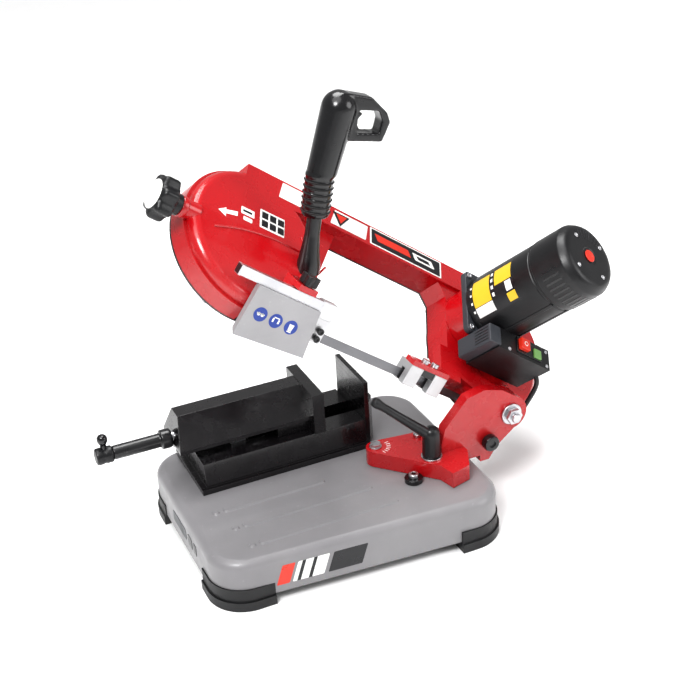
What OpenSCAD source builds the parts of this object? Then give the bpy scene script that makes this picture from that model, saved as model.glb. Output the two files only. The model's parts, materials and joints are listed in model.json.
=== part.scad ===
// Portable band saw with a tilted saw head, a mitre swivel and a sliding vise.
// Origin: centre of the base's footprint on the bench. +X runs along the base towards the
// hinge, +Y to the back, +Z up. The head is drawn raised, at its upper stop.

/* [Base] */
// Distance of the left end of the tray from the origin
base_left = 207; // [200:1:212]
// Distance of the right end of the tray from the origin
base_right = 208; // [202:1:212]
// Distance of the back wall from the origin
base_back = 163; // [158:1:168]
// Height of the tray's top above the bench
base_top = 74; // [72:0.5:76]
// Height of the tray's lower rim above the bench
rim_z = 16; // [12:1:20]
// Radius of the tray's upright corners
corner_r = 50; // [40:1:56]
// Sheet thickness of the tray
tray_wall = 5; // [4:0.5:6]

/* [Vise] */
// Y of the vise's centre line
vise_y = 83; // [80:1:86]
// Width of the jaws along Y
jaw_w = 100; // [90:1:106]
// X of the fixed jaw's clamping face
fixed_face_x = 88; // [86:1:90]
// Opening between the jaws as drawn
jaw_gap = 62; // [50:1:70]
// Height of the vise bed's top
bed_top = 117; // [115:1:119]
// Height of the jaws' top
jaw_top = 179; // [174:1:181]
// Height of the vise screw's axis
screw_z = 146; // [144:1:148]

/* [Head] */
// Angle of the saw arm above level as drawn
arm_rise = 36.5; // [34:0.5:38]
// Tilt of the blade loop about the arm
tilt = 50; // [46:1:50]
// X of the head's hinge axis
hinge_x = 268; // [266:1:270]
// Height of the head's hinge axis
hinge_z = 132; // [130:1:134]
// Y of the blade's cutting run
blade_y = -36; // [-38:1:-34]
// Drop of the cutting run below the hinge axis
blade_drop = 18; // [17:0.5:19]
// Diameter of the band wheels
wheel_d = 180; // [178:1:182]
// Distance along the arm from the hinge to the idler wheel
idler_a = 446; // [443:1:449]
// Distance along the arm from the hinge to the drive wheel
drive_a = 9; // [7:1:11]
// Width of the blade
blade_w = 13; // [12:0.5:14]
// Thickness of the blade
blade_t = 0.65; // [0.6:0.05:0.9]

/* [Motor] */
// Diameter of the motor's body
motor_d = 104; // [100:1:108]
// Length of the motor's body and end cap
motor_len = 190; // [180:1:196]

/* [Hidden] */
$fn = 64;
gap = 0.3;                 // clearance between parts that move past each other
fit = 0.06;                // radial clearance of a running fit
eps = 0.01;

// ---- colours
grey_paint = [0.56, 0.54, 0.56];
red_paint = [0.78, 0.05, 0.06];
black_paint = [0.07, 0.06, 0.07];
black_plastic = [0.06, 0.06, 0.06];
steel = [0.7, 0.7, 0.72];
rubber = [0.05, 0.05, 0.05];

// ---- frames
// Head frame: x along the arm, y to the back, z square to the arm, on the hinge axis.
module arm() translate([hinge_x, 0, hinge_z]) rotate([0, arm_rise, 0]) children();
// Loop frame: x along the arm, y across the blade loop, z along the wheels' axes. Its origin
// is on the cutting run.
module loop() {
  arm() translate([0, blade_y, -blade_drop]) rotate([90 - tilt, 0, 0]) children();
}
// A bar, bolt or washer whose axis is Y, from y0 to y1.
module along_y(x, z, y0, y1, r) {
  translate([x, y0, z]) rotate([-90, 0, 0]) cylinder(h = y1 - y0, r = r);
}
module along_x(y, z, x0, x1, r) {
  translate([x0, y, z]) rotate([0, 90, 0]) cylinder(h = x1 - x0, r = r);
}
module box(x0, x1, y0, y1, z0, z1) {
  translate([x0, y0, z0]) cube([x1 - x0, y1 - y0, z1 - z0]);
}

// ================= base =================
edge_r = 13;               // radius of the tray's top edge
left_x = -base_left + corner_r;
right_x = base_right - corner_r;
back_y = base_back - corner_r;
front_left_y = -99;        // the front wall runs 4 degrees off X, wider at the hinge end
front_right_y = -122;
corners = [
  [left_x, front_left_y], [right_x, front_right_y], [right_x, back_y], [left_x, back_y]
];
// A disc with a rounded top edge, of which four make the tray.
module puck(r, z0, z1, round) {
  arc = [for (i = [0 : 6]) [r - round + round * cos(15 * i), z1 - round + round * sin(15 * i)]];
  rotate_extrude() polygon(concat([[0, z0], [r, z0]], arc, [[0, z1]]));
}
module tray_shape(inset, z0) {
  hull() for (c = corners) translate([c[0], c[1], 0])
    puck(corner_r - inset, z0, base_top - inset, edge_r - inset / 2);
}
foot_screw_in = 16;        // foot screws sit this far out of the corner centres
bench_x = 150;             // half spacings of the holes for bench bolts
bench_y = 100;
bench_hole_r = 4.5;
function sgn(v) = v < 0 ? -1 : 1;
module foot_screw_places() {
  for (c = corners)
    translate([c[0] + sgn(c[0]) * foot_screw_in, c[1] + sgn(c[1]) * foot_screw_in, 0]) children();
}

// ---- mitre swivel places
pivot = [82, -12];         // mitre pivot
stud = [140, -74];         // clamp stud
stud_arc = norm(stud - pivot);
stud_angle = atan2(stud[1] - pivot[1], stud[0] - pivot[0]);
mitre_range = 38;          // the lowered head meets the fixed jaw beyond this
stop_bolt = [106.5, -83];
bracket_z = [75, 99];      // under and upper face of the swivel bracket

rib_y = [-22, -68, -114];  // embossed ribs on the tray
rib_x = [[-150, -8], [-138, 44], [-132, 62]];
rib_sink = 1;              // depth of the ribs' foot in the sheet
module rib_end(x, y) {
  translate([x, y, base_top - rib_sink]) cylinder(h = 3.2, r1 = 6, r2 = 3.4, $fn = 24);
}
bolt_x = [-155, 74];       // vise bed bolts
bolt_y = [38, 137];
bolt_r = 4;
module vise_bolt_places() {
  for (x = bolt_x, y = bolt_y) translate([x, y, 0]) children();
}
jaw_bolts = [[101, 62], [101, 88]];
jaw_foot_top = 144;        // top of the fixed jaw's thick foot, under the lowered head

module base_tray() color(grey_paint) difference() {
  union() {
    difference() {
      tray_shape(0, rim_z);
      tray_shape(tray_wall, rim_z - 1);
    }
    foot_screw_places() translate([0, 0, rim_z]) cylinder(h = base_top - tray_wall - rim_z + 1, r = 8);
    for (i = [0 : 2]) {
      hull() for (x = rib_x[i]) rib_end(x, rib_y[i]);
      rib_end(rib_x[i][0] - 15, rib_y[i]);
    }
    // swivel pad, ring of the pivot
    translate([pivot[0], pivot[1], base_top - 12]) cylinder(h = 11, r = 14);
  }
  foot_screw_places() translate([0, 0, rim_z - 1]) cylinder(h = 24, r = 3);
  vise_bolt_places() translate([0, 0, base_top - 14]) cylinder(h = 20, r = bolt_r);
  for (p = jaw_bolts) translate([p[0], p[1], base_top - 14]) cylinder(h = 20, r = bolt_r);
  translate([pivot[0], pivot[1], base_top - 20]) cylinder(h = 40, r = 6);
  translate([stop_bolt[0], stop_bolt[1], base_top - 20]) cylinder(h = 40, r = 4);
  // arc slot of the clamp stud
  translate([pivot[0], pivot[1], base_top - 20]) rotate([0, 0, stud_angle]) {
    rotate_extrude(angle = mitre_range) translate([stud_arc - 5.6, 0]) square([11.2, 40]);
    for (a = [0, mitre_range]) rotate([0, 0, a]) translate([stud_arc, 0, 0])
      cylinder(h = 40, r = 6);
  }
  // hole of the cord gland in the back wall
  along_y(60, 44, base_back - 12, base_back + 2, 7);
}

foot_h = 33;
foot_low_h = 14;
foot_ext = 24;
module foot(i) color(rubber) {
  c = corners[i];
  sx = sgn(c[0]);
  sy = sgn(c[1]);
  long_y = i == 1 ? 40 : foot_ext;
  difference() {
    intersection() {
      union() {
        for (t = [[4.5, foot_low_h], [2, foot_h]]) translate([c[0], c[1], 0]) {
          cylinder(h = t[1], r = corner_r + t[0]);
          scale([sx, sy, 1]) {
            box(-corner_r, 0, 0, corner_r + t[0], 0, t[1]);
            box(0, corner_r + t[0], -corner_r, 0, 0, t[1]);
          }
        }
      }
      translate([c[0], c[1], 0])
        box(sx > 0 ? -foot_ext : -80, sx > 0 ? 80 : foot_ext,
            sy > 0 ? -long_y : -80, sy > 0 ? 80 : long_y, 0, 40);
    }
    hull() for (k = corners) translate([k[0], k[1], rim_z]) cylinder(h = 60, r = corner_r);
    translate([c[0] + sx * foot_screw_in, c[1] + sy * foot_screw_in, -1]) {
      cylinder(h = 30, r = 3);
      cylinder(h = 8, r = 6.5);
    }
    translate([sx * bench_x, sy * bench_y, -1]) cylinder(h = 30, r = bench_hole_r);
  }
}
module foot_screws() color(steel) foot_screw_places() {
  translate([0, 0, 3]) cylinder(h = 4, r = 6);
  translate([0, 0, 3]) cylinder(h = 34, r = 3);
}
module cord_gland() color(rubber) {
  along_y(60, 44, base_back - 10, base_back + 6, 7);
  along_y(60, 44, base_back - 0.5, base_back + 6, 10);
  translate([60, base_back + 6, 44]) rotate([-90, 0, 0]) cylinder(h = 24, r1 = 7.5, r2 = 4.8);
}

// ================= vise =================
bed_x = [-167, 88];
bed_y = [25, 150];
screw_r = 9;
nut_x = [-106.5, -84];
move_x0 = fixed_face_x - jaw_gap - 17;     // back of the sliding jaw's plate
body_x0 = -187;
flange_h = 8;

module yz_prism(x0, x1, pts) {
  translate([x0, 0, 0]) rotate([90, 0, 90]) linear_extrude(x1 - x0) polygon(pts);
}
module vise_bed() color(black_paint) difference() {
  union() {
    box(bed_x[0], bed_x[1], bed_y[0], bed_y[1], base_top, base_top + flange_h);
    yz_prism(bed_x[0] + 8, bed_x[1], [
      [30, base_top], [145, base_top], [144, base_top + 16], [139, bed_top], [36, bed_top],
      [31, base_top + 16]
    ]);
  }
  box(bed_x[0] + 20, bed_x[1] + 1, 46, 129, base_top - 1, bed_top - 11);
  box(-80, bed_x[1] + 1, 68, 98, base_top - 1, bed_top + 1);
  vise_bolt_places() translate([0, 0, base_top - 1]) cylinder(h = 22, r = bolt_r);
}
module hex_bolt(z_head, head_r, head_h, shank_r, shank_h) {
  translate([0, 0, z_head - head_h]) cylinder(h = head_h, r = head_r, $fn = 6);
  translate([0, 0, z_head - eps]) cylinder(h = shank_h, r = shank_r);
}
module vise_bolts() color(steel) {
  vise_bolt_places() hex_bolt(base_top - tray_wall, 7, 5, bolt_r, tray_wall + 20);
  for (p = jaw_bolts) translate([p[0], p[1], 0])
    hex_bolt(base_top - tray_wall, 7, 5, bolt_r, tray_wall + 24);
}
module fixed_jaw() color(black_paint) difference() {
  y0 = vise_y - jaw_w / 2;
  y1 = vise_y + jaw_w / 2;
  x = fixed_face_x;
  union() {
    box(x, x + 7, y0, y1, base_top, jaw_top);
    translate([0, 0, base_top]) linear_extrude(jaw_foot_top - base_top)
      polygon([[x, y0], [x + 7, y0], [x + 20, y0 + 20], [x + 20, y1 - 36], [x + 7, y1], [x, y1]]);
  }
  for (p = jaw_bolts) translate([p[0], p[1], base_top - 1]) cylinder(h = 26, r = bolt_r);
}
module vise_nut() color(steel) difference() {
  union() {
    box(nut_x[0], nut_x[1], vise_y - 14, vise_y + 14, bed_top, screw_z);
    along_x(vise_y, screw_z, nut_x[0], nut_x[1], 14);
  }
  along_x(vise_y, screw_z, nut_x[0] - 1, nut_x[1] + 1, screw_r + fit);
}
roof = [[44, 136], [44, 142], [77, 179], [105, 179], [122, 142], [122, 136]];
roof_in = [[51, 130], [51, 145], [80, 171], [102, 171], [115, 145], [115, 130]];
module sliding_jaw() color(black_paint) difference() {
  y0 = vise_y - jaw_w / 2;
  union() {
    box(move_x0, move_x0 + 17, y0, y0 + jaw_w, bed_top + gap, jaw_top + 1);
    difference() {
      yz_prism(body_x0, move_x0 + 1, roof);
      yz_prism(body_x0 + 12, -40, roof_in);
    }
    box(-40, move_x0 + 1, 52, 114, bed_top + gap, 150);       // shoe on the bed
    box(-35, 20, 68 + 1, 98 - 1, bed_top - 11, bed_top + 2);  // keel in the slot
    along_x(vise_y, screw_z, body_x0, body_x0 + 12, 15);
  }
  along_x(vise_y, screw_z, body_x0 - 1, body_x0 + 13, 8 + fit);
  for (x = [-22, 7]) translate([x, vise_y, bed_top - 12]) cylinder(h = 20, r = 3);
  // slanted left end
  translate([body_x0, 0, 142]) rotate([0, 16, 0]) box(-30, 0, 30, 140, 0, 60);
}
module jaw_keeper() color(steel) {
  box(-35, 20, 50, 125, bed_top - 19, bed_top - 11 - gap);
  for (x = [-22, 7]) translate([x, vise_y, bed_top - 23]) cylinder(h = 28, r = 2.95);
}
module vise_screw() color(black_paint) {
  along_x(vise_y, screw_z, -174, -45, screw_r);
  along_x(vise_y, screw_z, body_x0 - 1, -173, 8);
  along_x(vise_y, screw_z, -174.6, -168, 13);
  along_x(vise_y, screw_z, -203, body_x0 - gap, 14);
  along_x(vise_y, screw_z, -272, -202, 10);
}
module screw_crank() color(black_plastic) {
  along_x(vise_y, screw_z, -296, -272, 12);
  translate([-283, vise_y, screw_z]) {
    cylinder(h = 26, r = 4.5);
    translate([0, 0, 25]) sphere(r = 7.5);
  }
}

// ================= mitre swivel =================
leg_y = [-74, -57];        // front and back face of the hinge leg
hub_r = 26;
lock = [230, 99];          // X and Z of the lock pin
hinge_r = 7;
module swivel_bracket() color(red_paint) difference() {
  union() {
    translate([0, 0, bracket_z[0]]) linear_extrude(bracket_z[1] - bracket_z[0]) union() {
      translate([pivot[0] + 2, pivot[1] - 1]) circle(r = 16);
      polygon([
        [71, -23], [140, -100], [146, -126], [176, -118], [192, -84], [192, -57], [180, -52],
        [174, -8], [86, 3]
      ]);
    }
    // inclined leg with the hinge hub
    translate([0, leg_y[1], 0]) rotate([90, 0, 0]) linear_extrude(leg_y[1] - leg_y[0]) union() {
      polygon([
        [156, 76], [156, 112], [162, 136], [198, 176], [226, 182], [254, 174], [283, 153],
        [291, 120], [246, 85], [232, 66], [218, 66], [218, 76], [192, 76]
      ]);
      translate([hinge_x, hinge_z]) circle(r = hub_r);
    }
    // gusset behind the leg and its lower rib
    translate([0, leg_y[1] + 3.5, 0]) rotate([90, 0, 0]) linear_extrude(4)
      polygon([[156, 76], [156, 112], [162, 124], [176, 134], [196, 108], [192, 76]]);
  }
  translate([pivot[0], pivot[1], 60]) cylinder(h = 60, r = 6 + fit);
  translate([stud[0], stud[1], 60]) cylinder(h = 60, r = 5 + fit);
  translate([147, -16, 90]) cylinder(h = 20, r = 3);
  along_y(hinge_x, hinge_z, leg_y[0] - 1, leg_y[1] + 1, hinge_r);
  along_y(lock[0], lock[1], leg_y[0] - 1, leg_y[1] + 1, 5 + fit);
}
module swivel_pivot() color(steel) translate([pivot[0], pivot[1], 0]) {
  translate([0, 0, base_top - 18]) cylinder(h = 6, r = 10, $fn = 6);
  translate([0, 0, base_top - 18]) cylinder(h = bracket_z[1] - base_top + 20, r = 6);
  translate([0, 0, bracket_z[1] + gap]) cylinder(h = 1.5, r = 9);
  translate([0, 0, bracket_z[1] + gap]) cylinder(h = 6, r = 8, $fn = 6);
}
module clamp_stud() color(steel) translate([stud[0], stud[1], 0]) {
  translate([0, 0, base_top - 15]) cylinder(h = 15 - tray_wall - gap, r = 10);
  translate([0, 0, base_top - 15]) cylinder(h = 60, r = 5);
}
washer_top = bracket_z[1] + 3;
module clamp_washer() color(steel) translate([stud[0], stud[1], bracket_z[1]])
  difference() {
    cylinder(h = 3, r = 15);
    translate([0, 0, -1]) cylinder(h = 6, r = 5.1);
  }
lever_angle = 171;         // direction of the clamp lever's arm
lever_rise = 42;
lever_len = 103;
module clamp_lever() color(black_plastic) translate([stud[0], stud[1], washer_top + gap])
  difference() {
    union() {
      rotate_extrude() polygon([
        [0, 0], [13, 0], [13.5, 4], [12.5, 36], [11, 41], [8, 44], [0, 45]
      ]);
      rotate([0, 0, lever_angle]) translate([0, 0, 31]) rotate([0, 90 - lever_rise, 0]) {
        cylinder(h = lever_len, r1 = 8, r2 = 5.5);
        translate([0, 0, lever_len]) sphere(r = 7.2);
      }
    }
    translate([0, 0, -1]) cylinder(h = 22, r = 5 + fit);
  }
module mitre_stop() translate([stop_bolt[0], stop_bolt[1], base_top]) {
  color(black_plastic) cylinder(h = 7, r = 13);
  color(steel) translate([0, 0, 6.9]) cylinder(h = 6, r = 7, $fn = 6);
  color(steel) translate([0, 0, -14]) cylinder(h = 15, r = 4);
}
module bracket_screw() color(steel) translate([147, -16, bracket_z[1] - 8]) {
  cylinder(h = 9, r = 3);
  translate([0, 0, 8]) cylinder(h = 5, r = 6);
}
module hinge_bolt() color(steel) {
  along_y(hinge_x, hinge_z, -93, -43, hinge_r);
  translate([hinge_x, -78 - 11, hinge_z]) rotate([-90, 0, 0]) cylinder(h = 11, r = 11, $fn = 6);
}
module hinge_washer() color(steel) difference() {
  along_y(hinge_x, hinge_z, -78, leg_y[0], 16);
  along_y(hinge_x, hinge_z, -80, leg_y[0] + 1, hinge_r);
}
// Torsion spring that carries part of the head's weight, wound round the hinge bolt.
spring_r = 13;
wire_r = 1.6;
module hinge_spring() color(steel) for (i = [0 : 2])
  translate([hinge_x, -54.6 + wire_r + 3 * i, hinge_z]) rotate([90, 0, 0])
    rotate_extrude() translate([spring_r, 0]) circle(r = wire_r, $fn = 16);
module lock_knob() color(black_plastic) {
  along_y(lock[0], lock[1], leg_y[0] - 15, leg_y[0] - 3, 12);
  along_y(lock[0], lock[1], leg_y[0] - 4, leg_y[1] - 2, 5);
}
// Grommet on the leg's back that takes the switch lead down into the hollow casting.
grommet = [256, -51, 95];
module lead_grommet() color(rubber) {
  along_x(grommet[1], grommet[2], grommet[0] - 22, grommet[0], 5.6);
  box(grommet[0] - 20, grommet[0] - 8, leg_y[1], grommet[1], grommet[2] - 5, grommet[2] + 5);
}

// ================= saw head =================
wheel_r = wheel_d / 2;
back_n = -22;              // plane of the wheel cover's outer face
front_n = 25;              // front face of the idler housing
drive_front_n = 20;
wall = 5;
cheek_n = 9;               // front of the cheek beside the idler wheel
col_a = -drive_a - 95;     // left side of the hinge-end column

module dome(r0, r1, z0, z1) {
  k = r0 - r1;
  arc = [for (i = [0 : 6]) [r1 + k * cos(15 * i), z1 - k + k * sin(15 * i)]];
  rotate_extrude() polygon(concat([[0, z0], [r0, z0]], arc, [[0, z1]]));
}
module head_outer() loop() {
  translate([-idler_a, wheel_r, 0]) {
    cylinder_at(-19, 9, 104);
    dome(100, 88, -19, front_n);
  }
  // cheek between idler housing and throat
  translate([0, 0, -19]) linear_extrude(cheek_n + 19)
    polygon([
      [-idler_a, wheel_r + 60], [-idler_a, 4], [-368, 26], [-336, 80], [-306, 165], [-306, 178]
    ]);
  // beam
  translate([0, 0, -19]) linear_extrude(front_n + 19)
    polygon([
      [-470, 176], [-466, 199], [-drive_a + 10, 199], [-drive_a + 10, 165], [-352, 165],
      [-440, 150]
    ]);
  // hinge end
  translate([-drive_a, wheel_r, 0]) dome(96, 84, -19, drive_front_n);
  translate([0, 0, -19]) linear_extrude(drive_front_n + 19)
    polygon([
      [col_a, 60], [col_a, 146], [col_a - 14, 165], [-10, 199], [40, 160], [0, 90], [-40, 6],
      [-78, 18]
    ]);
  // boss of the tension screw
  translate([-idler_a - 114.6, wheel_r, tension_n]) rotate([0, 90, 0]) cylinder(h = 26, r = 13);
}
module cylinder_at(z0, z1, r) translate([0, 0, z0]) cylinder(h = z1 - z0, r = r);
module head_inner() loop() {
  translate([-idler_a, wheel_r, 0]) cylinder_at(-30, 20, 95);
  translate([0, 0, -30]) linear_extrude(cheek_n - 4.5 + 30)
    polygon([
      [-idler_a, 190], [-idler_a, -7], [-377, 26], [-345, 80], [-318, 168], [-318, 190]
    ]);
  box(-440, -drive_a, 170, 193, -30, 18);
  translate([-drive_a, wheel_r, 0]) cylinder_at(-30, 13, 91.5);
}
module blade_way() loop() box(-idler_a, -drive_a, -20, 6, -30, 12);

module head_frame() color(red_paint) difference() {
  union() {
    difference() {
      union() {
        head_outer();
        arm() along_y(0, 0, leg_y[1] + gap, -38, 26);
        loop() box(-118, -80, 10, 60, 4, drive_front_n);
      }
      head_inner();
      blade_way();
    }
    // carrier of the guide bar
    arm() box(-404, -376, -66, -22, 33, 41);
    arm() box(-404, -376, -48, -22, 18, 34);
    // lug of the rear guide
    arm() box(-178, -112, -52, -30, 2, 9);
  }
  arm() along_y(0, 0, leg_y[1] - 1, -30, hinge_r + fit);
  arm() along_y(0, 0, leg_y[1] - 1, -44.8, spring_r + wire_r + 0.6);
  loop() translate([-idler_a - 130, wheel_r, tension_n]) rotate([0, 90, 0])
    cylinder(h = 60, r = 4 + fit);
  arm() translate([-390, -56, 20]) cylinder(h = 40, r = 4 + fit);
  loop() translate([-drive_a, wheel_r, 0]) cylinder_at(-10, 40, 10 + fit);
  for (p = cover_points) loop() translate([p[0], p[1], 0]) cylinder_at(-21, -9, 2);
}

cover_points = [
  [-idler_a + 100.5 * cos(160), wheel_r + 100.5 * sin(160)],
  [-idler_a + 100.5 * cos(245), wheel_r + 100.5 * sin(245)],
  [-250, 196], [col_a + 5, 142]
];
module wheel_cover() color(black_paint) loop() difference() {
  translate([0, 0, back_n]) union() {
    translate([-idler_a, wheel_r, 0]) cylinder(h = 3, r = 104);
    translate([-drive_a, wheel_r, 0]) cylinder(h = 3, r = 96);
    linear_extrude(3) polygon([
      [-idler_a, 4], [-368, 26], [-336, 80], [-306, 165], [col_a - 14, 165], [col_a, 146],
      [col_a, 60], [0, 90], [-10, 199], [-466, 199], [-470, 176], [-500, 140]
    ]);
  }
  for (p = cover_points) translate([p[0], p[1], 0]) cylinder_at(-23, -18, 2 + fit);
}
lug_screws = [[-156, -44], [-138, -44]];
module head_screws() color(steel) {
  for (p = cover_points) loop() translate([p[0], p[1], 0]) {
    cylinder_at(-20, -10, 2);
    cylinder_at(-24.5, back_n, 4);
  }
  for (p = lug_screws) arm() translate([p[0], p[1], 0]) {
    cylinder_at(1, 9.2, 3);
    cylinder_at(9, 15, 5.5);
  }
}

// ---- drive train
motor_a = -58;             // place of the motor's axis in the loop frame
motor_v = 117;
flange_n = [56, 66];       // motor flange
gear_n = [27, 41];
drive_dist = norm([motor_a + drive_a, motor_v - wheel_r]);
gear_teeth = 56;
pinion_teeth = 14;
gear_m = 2 * drive_dist / (gear_teeth + pinion_teeth);
mesh_angle = atan2(motor_v - wheel_r, motor_a + drive_a);
// Straight-sided teeth, thinner than half the pitch so that the pair runs free.
module toothed(z, h, turn) {
  p = 360 / z;
  r_tip = gear_m * z / 2 + 0.85 * gear_m;
  r_root = gear_m * z / 2 - 1.15 * gear_m;
  rotate([0, 0, turn]) linear_extrude(h) polygon([
    for (i = [0 : z - 1], k = [[-0.32, r_root], [-0.11, r_tip], [0.11, r_tip], [0.32, r_root]])
      [k[1] * cos((i + k[0]) * p), k[1] * sin((i + k[0]) * p)]
  ]);
}
module at_drive() loop() translate([-drive_a, wheel_r, 0]) children();
module at_motor() loop() translate([motor_a, motor_v, 0]) children();
module at_idler() loop() translate([-idler_a, wheel_r, 0]) children();

module case_outline(grow) {
  translate([-drive_a, wheel_r]) circle(r = 52 + grow);
  translate([motor_a, motor_v]) circle(r = 44 + grow);
}
module gear_case() color(red_paint) difference() {
  loop() translate([0, 0, drive_front_n]) linear_extrude(flange_n[0] - drive_front_n)
    case_outline(4);
  at_drive() cylinder_at(drive_front_n - 1, 51, 51);
  at_motor() cylinder_at(drive_front_n - 1, 51, 16);
  at_motor() cylinder_at(50, 60, 8);
}
module drive_gear() color(steel) at_drive() {
  cylinder_at(-14, 49, 10);
  translate([0, 0, gear_n[0]]) toothed(gear_teeth, gear_n[1] - gear_n[0], mesh_angle);
}
module armature() color(steel) at_motor() {
  translate([0, 0, gear_n[0] - 1])
    toothed(pinion_teeth, gear_n[1] - gear_n[0] + 2, mesh_angle + 180 + 180 / pinion_teeth);
  cylinder_at(24, 238, 6);
  cylinder_at(84, 176, 27);
  cylinder_at(186, 212, 16);
}
module band_wheel(bore) difference() {
  union() {
    difference() {
      cylinder_at(-9, 8, wheel_r - gap);
      cylinder_at(-10, 9, wheel_r - 11);
    }
    cylinder_at(-4, 4, wheel_r - 10);
    cylinder_at(-9, 9, 24);
  }
  cylinder_at(-10, 10, bore);
  for (i = [0 : 5]) rotate([0, 0, 60 * i]) translate([52, 0, 0]) cylinder_at(-5, 5, 15);
}
module drive_wheel() color(steel) at_drive() band_wheel(10);
module idler_wheel() color(steel) at_idler() band_wheel(15);
module idler_bearing() color(steel) at_idler() difference() {
  cylinder_at(-8, 8, 15);
  cylinder_at(-9, 9, 8 + fit);
}
tension_n = 14.5;
module tension_slide() color(steel) difference() {
  loop() union() {
    box(-524, -400, 72, 108, 10, 19.7);
    translate([-idler_a, wheel_r, 0]) cylinder_at(-13, 11, 8);
  }
  loop() translate([-530, wheel_r, tension_n]) rotate([0, 90, 0]) cylinder(h = 60, r = 4 + fit);
}
module tension_screw() color(steel) loop() translate([-574, wheel_r, tension_n])
  rotate([0, 90, 0]) cylinder(h = 96, r = 4);
knob_a = -599;             // outer end of the tension knob
module lobed(r, depth, lobes, h) linear_extrude(h) polygon([
  for (i = [0 : 12 * lobes - 1]) let (w = 30 * i / lobes)
    (r + depth * cos(lobes * w)) * [cos(w), sin(w)]
]);
module tension_knob() loop() translate([knob_a, wheel_r, tension_n]) rotate([0, 90, 0]) {
  color(black_plastic) difference() {
    union() {
      translate([0, 0, 2]) lobed(26.5, 3, 7, 24);
      translate([0, 0, 26]) cylinder(h = 12, r = 14);
    }
    translate([0, 0, 25]) cylinder(h = 20, r = 4);
  }
  color("white") cylinder(h = 3, r = 17);
}

// ---- blade: one closed band, twisted upright where it cuts
twist_a = [-346, -178];    // between these places the band stands upright
run_steps = 6;
arc_steps = 30;
function mix(a, b, k) = a + (b - a) * k;
band_r = wheel_r + blade_t / 2;
band_path = concat(
  [for (i = [0 : run_steps - 1]) let (k = i / run_steps)
    [mix(-idler_a, twist_a[0], k), wheel_r - band_r, -90, k * (90 - tilt)]],
  [for (i = [0 : 1]) [twist_a[i], wheel_r - band_r, -90, 90 - tilt]],
  [for (i = [1 : run_steps]) let (k = i / run_steps)
    [mix(twist_a[1], -drive_a, k), wheel_r - band_r, -90, (1 - k) * (90 - tilt)]],
  [for (i = [1 : arc_steps]) let (w = -90 + 180 * i / arc_steps)
    [-drive_a + band_r * cos(w), wheel_r + band_r * sin(w), w, 0]],
  [for (i = [0 : arc_steps - 1]) let (w = 90 + 180 * i / arc_steps)
    [-idler_a + band_r * cos(w), wheel_r + band_r * sin(w), w, 0]]
);
// Corners of the band's section: its width leans from the wheels' axis by the twist.
function band_corner(s, side, edge) = let (
    out = [cos(s[2]), sin(s[2]), 0],
    wide = cos(s[3]) * [0, 0, 1] - sin(s[3]) * out,
    thin = cos(s[3]) * out + sin(s[3]) * [0, 0, 1]
  ) [s[0], s[1], 0] + side * blade_t / 2 * thin + edge * blade_w / 2 * wide;
module blade() color(steel) loop() {
  n = len(band_path);
  pts = [for (s = band_path, c = [[-1, -1], [1, -1], [1, 1], [-1, 1]])
    band_corner(s, c[0], c[1])];
  faces = [for (i = [0 : n - 1], k = [0 : 3]) let (j = (i + 1) % n, m = (k + 1) % 4)
    [4 * i + k, 4 * i + m, 4 * j + m, 4 * j + k]];
  polyhedron(pts, faces);
}

// ---- tubes swept along hand-chosen points
function unit(v) = v / norm(v);
function tangent(p, i) = unit(p[min(i + 1, len(p) - 1)] - p[max(i - 1, 0)]);
module tube(points, r, sides) {
  n = len(points);
  pts = [for (i = [0 : n - 1]) let (
      t = tangent(points, i),
      u = unit(cross(t, abs(t[0]) > 0.9 ? [0, 0, 1] : [1, 0, 0])),
      w = cross(t, u)
    ) for (k = [0 : sides - 1]) points[i] + r * (cos(360 * k / sides) * u
      + sin(360 * k / sides) * w)];
  skin = [for (i = [0 : n - 2], k = [0 : sides - 1]) let (m = (k + 1) % sides)
    [i * sides + k, i * sides + m, (i + 1) * sides + m, (i + 1) * sides + k]];
  ends = [
    [for (k = [sides - 1 : -1 : 0]) k],
    [for (k = [0 : sides - 1]) (n - 1) * sides + k]
  ];
  polyhedron(pts, concat(skin, ends));
}

// ---- guides
bar_b = [19, 32];          // lower and upper face of the guide bar in the head frame
bar_y = [-62, -50];
guard_y = -66;
guard_back = -56;          // back edge of the guard's flanges
module guide_bar() color(steel) arm() {
  box(-484, -357, bar_y[0], bar_y[1], bar_b[0], bar_b[1]);
  box(-488, -484, bar_y[0] - 0.5, bar_y[1] + 0.5, bar_b[0] - 0.5, bar_b[1] + 0.5);
}
module blade_guard() color([0.75, 0.74, 0.75]) arm() {
  union() {
    translate([0, guard_y + 2, 0]) rotate([90, 0, 0]) linear_extrude(2)
      polygon([[-455, bar_b[0]], [-453, -52], [-347, -46], [-358, bar_b[0]]]);
    box(-455, -358, guard_y, guard_back, bar_b[0] - 2, bar_b[0]);
    translate([-455, 0, 0]) rotate([90, 0, 90]) linear_extrude(2)
      polygon([[guard_y, bar_b[0]], [guard_y, -52], [guard_back, -46], [guard_back, bar_b[0]]]);
  }
}
module front_guide() color(steel) arm() difference() {
  union() {
    box(-357, -334, -60, -44, 10, 33);
    box(-352, -330, -56, -22, -24, 16);
  }
  box(-360, -320, blade_y - 4, blade_y + 4, -40, -9);
}
module front_pads() color("dimgray") arm() for (s = [-1, 1])
  translate([0, blade_y, 0]) box(-350, -332, min(s * 0.7, s * 4), max(s * 0.7, s * 4), -23, -10);
module guide_knob() color(black_plastic) arm() translate([-390, -56, 0]) {
  translate([0, 0, bar_b[1] + 0.2]) cylinder(h = 11, r = 4);
  translate([0, 0, 42]) lobed(10.5, 3.5, 3, 13);
}
module rear_guide() color(steel) arm() difference() {
  union() {
    box(-178, -156, -52, -20, -28, 2);
    box(-134, -112, -52, -20, -28, 2);
  }
  box(-180, -110, blade_y - 4, blade_y + 4, -40, -9);
}
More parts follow.
